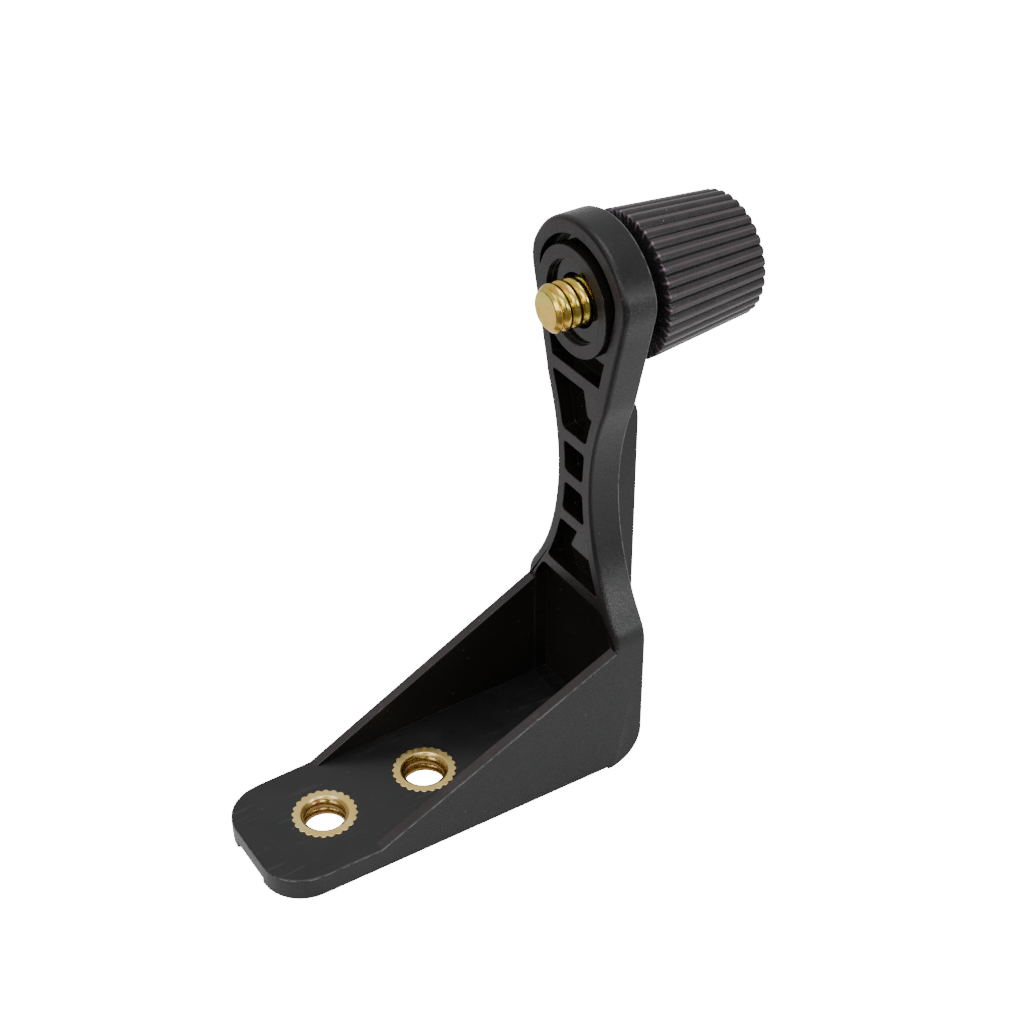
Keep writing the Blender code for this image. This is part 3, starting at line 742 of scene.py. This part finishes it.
class BRACKET_OT_moulding(bpy.types.Operator):
    """Build the moulded body with its eased edges and six finishes"""
    bl_idname = "bracket.moulding"
    bl_label = "Moulded body"

    def execute(self, context):
        settings = context.scene.bracket_settings
        piece = make_moulding(settings)
        sides = plastic(
            "grained_sides", settings.side_color, roughness=0.27, grain_size=0.17 * MM, depth=0.022 * MM,
            painted_glint=0.10, scratch=0.05, specular=0.33, seam=edge_distance, painted_sparkle_spots=painted_sparkle_share)
        faces = plastic(
            "rubbed_faces", settings.face_color, roughness=0.38, grain_size=0.26 * MM, depth=0.004 * MM,
            painted_glint=0.04, scratch=0.12, specular=0.24)
        pockets = plastic(
            "polished_pockets", settings.inside_color, roughness=0.07, grain_size=0.8 * MM,
            depth=0.0005 * MM, painted_glint=0.0, scratch=0.03, specular=0.22)
        upper = plastic(
            "smooth_foot", settings.floor_color, roughness=0.33, grain_size=0.3 * MM, depth=0.003 * MM,
            painted_glint=0.05, scratch=0.16)
        channel = plastic(
            "channel_walls", scaled(settings.inside_color, 1.5), roughness=0.30, grain_size=0.8 * MM,
            depth=0.001 * MM, painted_glint=0.0, scratch=0.03, specular=0.18)
        tops = plastic(
            "rubbed_tops", scaled(settings.face_color, 1.35), roughness=0.36, grain_size=0.22 * MM,
            depth=0.005 * MM, painted_glint=0.10, scratch=0.20)
        finishes = (sides, faces, pockets, upper, channel, tops)
        place(piece, "bracket", "bracket_plastic", "bracket_body", *finishes)
        return {"FINISHED"}


# ---------------------------------------------------------------- inserts

def make_insert(name, node, settings):
    """Knurled bush. Its section is an eased rectangle with chamfered mouths; the outer
    wall carries rounded teeth (absolute cosine of half the tooth angle, to a power) that
    fade on the end faces, and the bore carries the thread, which fades at both mouths."""
    low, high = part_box(node)
    bottom = low.z - INSERT_SINK + FACE_PROUD
    top = high.z + INSERT_SINK + FACE_PROUD
    mouth = 0.45 * MM
    flare = THREAD_MAJOR + 0.14 * MM
    bore = THREAD_MAJOR - 0.1 * MM
    section = [
        (bottom, TOOTH_TIP), (top, TOOTH_TIP), (top, flare), (top - mouth, bore),
        (bottom + mouth, bore), (bottom, flare),
    ]
    profile = refine(eased(section, 0.09 * MM), 0.05 * MM)
    along, base = profile[:, 0], profile[:, 1]
    columns = settings.teeth * 8
    angle = np.arange(columns) * 2 * math.pi / columns
    teeth = 1 - np.abs(np.cos(angle * settings.teeth / 2)) ** 1.2
    rim = smooth_step(TOOTH_TIP - 0.75 * MM, TOOTH_TIP - 0.15 * MM, base)
    radii = base[:, None] - TOOTH_DEPTH * rim[:, None] * teeth[None, :]
    tapped = 1 - smooth_step(THREAD_MAJOR - 0.08 * MM, THREAD_MAJOR + 0.02 * MM, base)
    inward = (bore - settings.thread_crest) * thread_wave(along, columns, bottom)
    radii = radii - tapped[:, None] * inward
    piece = turned_piece(name, along, radii, insert_centre(node), capped=False)
    # faces in the bore take the darker brass, a painted shade
    centres = read(piece.data.polygons, "center", 3)[:, :2] - insert_centre(node)
    bored = np.linalg.norm(centres, axis=1) < THREAD_MAJOR
    piece.data.polygons.foreach_set("material_index", bored.astype(np.int32))
    return piece


class BRACKET_OT_inserts(bpy.types.Operator):
    """Build the two knurled brass inserts with their threads"""
    bl_idname = "bracket.inserts"
    bl_label = "Brass inserts"

    def execute(self, context):
        settings = context.scene.bracket_hardware
        color = tuple(settings.brass_color)
        brass = metal("insert_brass", color, (0.94, 0.73, 0.29), 0.28, ALONG_INSERT, 9000.0, 0.004 * MM)
        # painted shade: a darker copy of the brass for the tapped bore
        bore_shade_color = scaled(color, 0.45)
        tapped = metal("bore_brass_painted_shade", bore_shade_color, (0.42, 0.22, 0.08), 0.2, ALONG_INSERT, 9000.0, 0.002 * MM)
        for name, node in (("toe_bush", "toe_insert"), ("rear_bush", "rear_insert")):
            piece = make_insert(name, node, settings)
            place(piece, "bracket", "insert_brass", node, brass, tapped)
        return {"FINISHED"}


# ---------------------------------------------------------------- clamp screw

def hexagon(flats, columns):
    """Radii of a hexagon by angle: half the flats divided by the cosine of the angle
    from the nearest flat's middle."""
    angle = np.arange(columns) * 2 * math.pi / columns
    sixth = math.pi / 3
    return flats / 2 / np.cos(np.mod(angle, sixth) - sixth / 2)


CLIP_GROOVE_RADIUS = 1.75 * MM
SHANK_RADIUS = 3.1 * MM
HEAD_RADIUS = 5.5 * MM           # hexagon's corners are turned off at HEAD_CORNER
HEAD_CORNER = 6.2 * MM
HEAD_FLATS = 11.11 * MM
HEAD_HEIGHT = 4.0 * MM
THREAD_END = 1.6 * MM            # this and the next four are depths
NECK_START = 1.9 * MM
CLIP_GROOVE_START = 2.45 * MM
CLIP_GROOVE_END = 3.75 * MM
SHANK_START = 7.6 * MM


def make_screw(settings):
    """Clamp screw, from the middle of its tip to the middle of its head: a rounded tip,
    the thread, a neck with the clip's groove, the shank and a chamfered hex head."""
    tip, end = SCREW_LOW.y, SCREW_HIGH.y
    root = settings.thread_root
    head_start = end - HEAD_HEIGHT
    near_axis = 0.6 * MM
    groove_front = ARM_FRONT + CLIP_GROOVE_START
    groove_rear = ARM_FRONT + CLIP_GROOVE_END
    shank_start = ARM_FRONT + SHANK_START
    stations = [
        (tip, near_axis), (tip, TIP_FLAT), (tip + 0.65 * MM, 3.1 * MM), (tip + 0.9 * MM, THREAD_MAJOR),
        (ARM_FRONT + THREAD_END, THREAD_MAJOR), (ARM_FRONT + NECK_START, root),
        (groove_front, root), (groove_front, CLIP_GROOVE_RADIUS),
        (groove_rear, CLIP_GROOVE_RADIUS), (groove_rear, root),
        (shank_start, root), (shank_start, SHANK_RADIUS),
        (head_start, SHANK_RADIUS), (head_start, HEAD_RADIUS), (end, HEAD_RADIUS), (end, near_axis),
    ]
    profile = refine(eased(stations, 0.12 * MM, closed=False), 0.045 * MM, closed=False)
    along, base = profile[:, 0], profile[:, 1]
    columns = 120
    threaded = (along < ARM_FRONT + 1.75 * MM) & (base > TIP_FLAT + 0.1 * MM)
    fade = smooth_step(tip + 0.1 * MM, tip + 0.7 * MM, along)
    fade *= 1 - smooth_step(ARM_FRONT + 1.2 * MM, ARM_FRONT + 1.7 * MM, along)
    crest = tip + FIRST_GROOVE + THREAD_PITCH / 2
    groove = (base - root).clip(0)[:, None] * (1 - thread_wave(-along, columns, -crest))
    radii = base[:, None] - (threaded * fade)[:, None] * groove
    head = (along > head_start - 0.1 * MM) & (base > SHANK_RADIUS + 0.2 * MM)
    share = hexagon(HEAD_FLATS, columns) / HEAD_RADIUS
    radii = np.where(head[:, None], np.minimum(radii * share, HEAD_CORNER), radii)
    return turned_piece("plated_screw", along, radii, "clamp", capped=True)


class BRACKET_OT_screw(bpy.types.Operator):
    """Build the captive clamp screw"""
    bl_idname = "bracket.screw"
    bl_label = "Clamp screw"

    def execute(self, context):
        settings = context.scene.bracket_hardware
        plating = metal(
            "yellow_plating", tuple(settings.plating_color), (0.66, 0.54, 0.10), 0.20, ALONG_SCREW,
            7000.0, 0.002 * MM)
        place(make_screw(settings), "knob", "screw_plating", "clamp_screw", plating)
        return {"FINISHED"}


# ---------------------------------------------------------------- clip and washer

def make_clip():
    """Open retaining ring: a rounded rectangle carried along an arc that leaves a mouth
    below, with both ends closed. The rectangle is a superellipse."""
    low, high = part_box("retaining_clip")
    inner, outer = 2.05 * MM, 4.4 * MM
    half_mouth = math.radians(35)
    arc = np.linspace(half_mouth - math.pi / 2, 1.5 * math.pi - half_mouth, 73)
    columns = 24
    turn = np.arange(columns) * 2 * math.pi / columns
    squareness = 0.35
    radial = np.sign(np.cos(turn)) * np.abs(np.cos(turn)) ** squareness
    flat = np.sign(np.sin(turn)) * np.abs(np.sin(turn)) ** squareness
    radius = (inner + outer) / 2 + (outer - inner) / 2 * radial
    depth = (low.y + high.y) / 2 + (high.y - low.y) / 2 * flat
    points = np.stack((
        np.outer(np.cos(arc), radius), np.broadcast_to(depth, (len(arc), len(depth))),
        AXIS_HEIGHT + np.outer(np.sin(arc), radius)), -1).reshape(-1, 3)
    faces = grid_faces(len(arc), columns, False).tolist()
    last = (len(arc) - 1) * columns
    faces.append(list(range(columns))[::-1])
    faces.append(list(range(last, last + columns)))
    return new_piece("spring_clip", points, faces)


def make_washer():
    """Thrust washer: an eased rectangle turned round the screw."""
    low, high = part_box("thrust_washer")
    outer = (high.x - low.x) / 2
    inner = 3.5 * MM
    section = [(low.y, inner), (low.y, outer), (high.y, outer), (high.y, inner)]
    profile = refine(eased(section, 0.2 * MM), 0.3 * MM)
    radii = np.repeat(profile[:, 1:2], 96, axis=1)
    return turned_piece("bearing_washer", profile[:, 0], radii, "clamp", capped=False)


class BRACKET_OT_captive(bpy.types.Operator):
    """Build the clip that keeps the screw in the eye and the washer it turns against"""
    bl_idname = "bracket.captive"
    bl_label = "Clip and washer"

    def execute(self, context):
        steel = metal(
            "spring_steel", (0.42, 0.42, 0.43), (0.50, 0.49, 0.48), 0.28, ALONG_SCREW, 6000.0, 0.002 * MM)
        acetal = plastic(
            "washer_acetal", (0.02, 0.02, 0.02), roughness=0.35, grain_size=0.5 * MM, depth=0.002 * MM,
            painted_glint=0.0, scratch=0.2)
        place(make_clip(), "clip", "clip_steel", "retaining_clip", steel)
        place(make_washer(), "bracket", "washer_acetal", "thrust_washer", acetal)
        return {"FINISHED"}


# ---------------------------------------------------------------- knob

def make_knob(settings):
    """Knob: its section runs down the tapered outside, over the front face, through the shank hole, the
    hex pocket, the cavity and the mouth. The outside carries the flutes: each ridge is a flat circular
    arc, so grooves between ridges are narrow. A painted highlight is a bell curve across each ridge, and
    strongest on its front corner."""
    front, rear = KNOB_LOW.y, KNOB_HIGH.y
    wide, slim = 9.82 * MM, 8.4 * MM
    pocket, cavity, opening, hole = 6.55 * MM, 6.9 * MM, 7.4 * MM, 3.4 * MM
    floor = ARM_FRONT + 12.6 * MM
    head_end = ARM_FRONT + 16.3 * MM
    mouth = ARM_FRONT + 21.6 * MM
    section = [
        (rear, slim), (front, wide), (front, hole), (floor, hole), (floor, pocket), (head_end, pocket),
        (head_end, cavity), (mouth, cavity), (mouth, opening), (rear, opening),
    ]
    profile = refine(eased(section, 0.3 * MM), 1.2 * MM)
    along, base = profile[:, 0], profile[:, 1]
    steps = 16
    columns = settings.flutes * steps
    phase = np.mod(np.arange(columns) / steps, 1.0) * 2 - 1
    reach = 0.93
    low = math.sqrt(1 - reach * reach)
    ridge = (np.sqrt(1 - (reach * phase) ** 2) - low) / (1 - low)
    outside = wide + (slim - wide) * (along - front) / (rear - front)
    fluted = smooth_step(-1.0 * MM, -0.25 * MM, base - outside)
    radii = base[:, None] - (settings.flute_depth * fluted)[:, None] * (1 - ridge)[None, :]
    hexed = (along > floor - 0.2 * MM) & (along < head_end + 0.05 * MM)
    hexed &= (base > 5.0 * MM) & (base < cavity - 0.1 * MM)
    share = hexagon(2 * pocket * math.cos(math.pi / 6), columns) / pocket
    radii = np.where(hexed[:, None], radii * share, radii)
    piece = turned_piece("fluted_knob", along, radii, "clamp", capped=False)
    crest = np.exp(-(phase / 0.18) ** 2)
    corner = np.exp(-((along - front - 0.1 * MM) / (0.16 * MM)) ** 2) * (base > wide - 0.45 * MM)
    ridge_highlight = 0.20 * fluted * (along > front + 0.3 * MM)
    # painted highlight on the ridges' crests and front corners, kept as a mesh attribute
    crest_highlight = (ridge_highlight + corner)[:, None] * crest
    wear_and_highlight = piece.data.attributes.new("crest_highlight", "FLOAT", "POINT")
    wear_and_highlight.data.foreach_set("value", crest_highlight.astype(np.float32).ravel())
    return piece


def make_cap():
    """Closing disc: an eased cylinder whose rear is dished, sinking with the square of
    the cosine from its rim to its middle, inside a fine raised lip."""
    low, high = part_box("knob_cap")
    outer = (high.x - low.x) / 2
    dish_edge = 0.86
    reach = np.linspace(0.04, dish_edge, 22)
    dish = 0.3 * MM * np.cos(reach / dish_edge * math.pi / 2) ** 2
    rear = np.column_stack((high.y - 0.06 * MM - dish, outer * reach))
    corners = [(high.y, outer * 0.89), (high.y, outer), (low.y, outer), (low.y, 0.3 * MM)]
    rim = eased(corners, 0.18 * MM, closed=False)
    profile = np.vstack((rear, rim))
    radii = np.repeat(profile[:, 1:2], 128, axis=1)
    return turned_piece("rear_cap", profile[:, 0], radii, "clamp", capped=True)


class BRACKET_OT_knob(bpy.types.Operator):
    """Build the fluted knob and the disc that closes it"""
    bl_idname = "bracket.knob"
    bl_label = "Knob"

    def execute(self, context):
        settings = context.scene.bracket_knob
        color = tuple(settings.color)
        grained = plastic(
            "knob_plastic", color, roughness=0.27, grain_size=0.16 * MM, depth=0.011 * MM,
            painted_glint=0.16, scratch=0.08, crest_highlight="crest_highlight", mark_and_highlight_gain=(20.0, 15.0, 19.0))
        smoother = plastic(
            "cap_plastic", color, roughness=0.36, grain_size=0.35 * MM, depth=0.005 * MM,
            painted_glint=0.06, scratch=0.3)
        place(make_knob(settings), "knob", "knob_plastic", "knob_shell", grained)
        place(make_cap(), "knob", "knob_plastic", "knob_cap", smoother)
        return {"FINISHED"}


# ---------------------------------------------------------------- stage

FLAT_REACH = 2.0                 # the floor is flat this far out
SOFT_BOXES = (                   # name, place, size and radiance as a multiple of the key
    ("rear_right_box", (1.05, 0.51, 0.30), 0.35, 2.6),
    ("top_box", (0.1, -0.1, 1.2), 0.9, 1.1),
    ("side_box", (1.0, -0.28, 0.45), 0.3, 3.2),
    ("front_box", (0.45, -1.0, 0.45), 0.6, 1.5),
)
AIM = Vector((-15.69, 14.48, 28.63)) * MM  # the camera looks at this point


def make_floor(settings):
    """Wide floor whose far parts rise gently: height is a quarter of the square of the
    distance beyond the flat part."""
    steps = 41
    line = np.linspace(-4.0, 4.0, steps)
    x, y = np.meshgrid(line, line)
    beyond = (np.hypot(x, y) - FLAT_REACH).clip(0)
    points = np.stack((x, y, 0.25 * beyond ** 2), -1).reshape(-1, 3)
    i, j = np.meshgrid(np.arange(steps - 1), np.arange(steps - 1), indexing="ij")
    first = i * steps + j
    faces = np.stack((first, first + 1, first + steps + 1, first + steps), -1).reshape(-1, 4)
    mesh = bpy.data.meshes.new("floor")
    mesh.from_pydata(points.tolist(), [], faces.tolist())
    mesh.shade_smooth()
    mesh.materials.append(floor_material(settings))
    linked("floor", mesh)


def make_world(settings):
    """Even white surroundings."""
    world = bpy.data.worlds.new("studio")
    world.use_nodes = True
    background = world.node_tree.nodes["Background"]
    background.inputs["Color"].default_value = (1.0, 1.0, 1.0, 1.0)
    background.inputs["Strength"].default_value = settings.sky
    bpy.context.scene.world = world


def soft_box(name, place_at, aim, size, radiance):
    """Square area light turned to its aim. Its power gives it the stated radiance."""
    light = bpy.data.lights.new(name, "AREA")
    light.shape = "SQUARE"
    light.size = size
    light.energy = radiance * math.pi * size * size
    lamp = linked(name, light)
    lamp.location = place_at
    lamp.rotation_mode = "QUATERNION"
    lamp.rotation_quaternion = (Vector(aim) - Vector(place_at)).to_track_quat("-Z", "Y")


def make_camera(settings):
    """Camera looking at its aim point from an azimuth and an elevation, with a roll."""
    azimuth, elevation, roll = settings.azimuth, settings.elevation, settings.roll
    outward = Vector((math.sin(azimuth), -math.cos(azimuth), 0.0))
    back = outward * math.cos(elevation) + Vector((0.0, 0.0, math.sin(elevation)))
    level = Vector((math.cos(azimuth), math.sin(azimuth), 0.0))
    upright = back.cross(level)
    right = math.cos(roll) * level + math.sin(roll) * upright
    up = math.cos(roll) * upright - math.sin(roll) * level
    data = bpy.data.cameras.new("camera")
    data.sensor_width = 36.0
    data.lens = settings.lens
    data.clip_start = 0.01
    camera = linked("camera", data)
    turn = Matrix((right, up, back)).transposed()
    camera.matrix_world = Matrix.Translation(AIM + back * settings.distance) @ turn.to_4x4()
    bpy.context.scene.camera = camera


class BRACKET_OT_stage(bpy.types.Operator):
    """Build the floor, the soft light and the camera"""
    bl_idname = "bracket.stage"
    bl_label = "Stage"

    def execute(self, context):
        settings = context.scene.bracket_stage
        make_floor(settings)
        make_world(settings)
        middle = (CAD_BOX[0] + CAD_BOX[1]) / 2
        for name, place_at, size, share in SOFT_BOXES:
            soft_box(name, place_at, middle, size, settings.key * share)
        make_camera(settings)
        return {"FINISHED"}


# ---------------------------------------------------------------- panel and registration

OPERATORS = (
    BRACKET_OT_moulding, BRACKET_OT_inserts, BRACKET_OT_screw, BRACKET_OT_captive, BRACKET_OT_knob,
    BRACKET_OT_stage,
)

SETTINGS = {
    "bracket_settings": BracketSettings,
    "bracket_hardware": HardwareSettings,
    "bracket_knob": KnobSettings,
    "bracket_stage": StageSettings,
}


class BRACKET_PT_panel(bpy.types.Panel):
    """Sidebar panel with one button for each piece or group"""
    bl_idname = "BRACKET_PT_panel"
    bl_label = "Optics Bracket"
    bl_space_type = "VIEW_3D"
    bl_region_type = "UI"
    bl_category = "Bracket"

    def draw(self, context):
        for operator in OPERATORS:
            self.layout.operator(operator.bl_idname)
        for name, group in SETTINGS.items():
            box = self.layout.box()
            box.label(text=group.__doc__)
            for key in group.__annotations__:
                box.prop(getattr(context.scene, name), key)


def register():
    """Register settings, operators and panel."""
    for name, group in SETTINGS.items():
        bpy.utils.register_class(group)
        setattr(bpy.types.Scene, name, bpy.props.PointerProperty(type=group))
    for cls in (*OPERATORS, BRACKET_PT_panel):
        bpy.utils.register_class(cls)


def unregister():
    """Undo register()."""
    for cls in (BRACKET_PT_panel, *reversed(OPERATORS)):
        bpy.utils.unregister_class(cls)
    for name, group in SETTINGS.items():
        delattr(bpy.types.Scene, name)
        bpy.utils.unregister_class(group)


def main():
    """Register, then run every operator in order."""
    register()
    bpy.ops.bracket.moulding()
    bpy.ops.bracket.inserts()
    bpy.ops.bracket.screw()
    bpy.ops.bracket.captive()
    bpy.ops.bracket.knob()
    bpy.ops.bracket.stage()


if __name__ == "__main__":
    main()
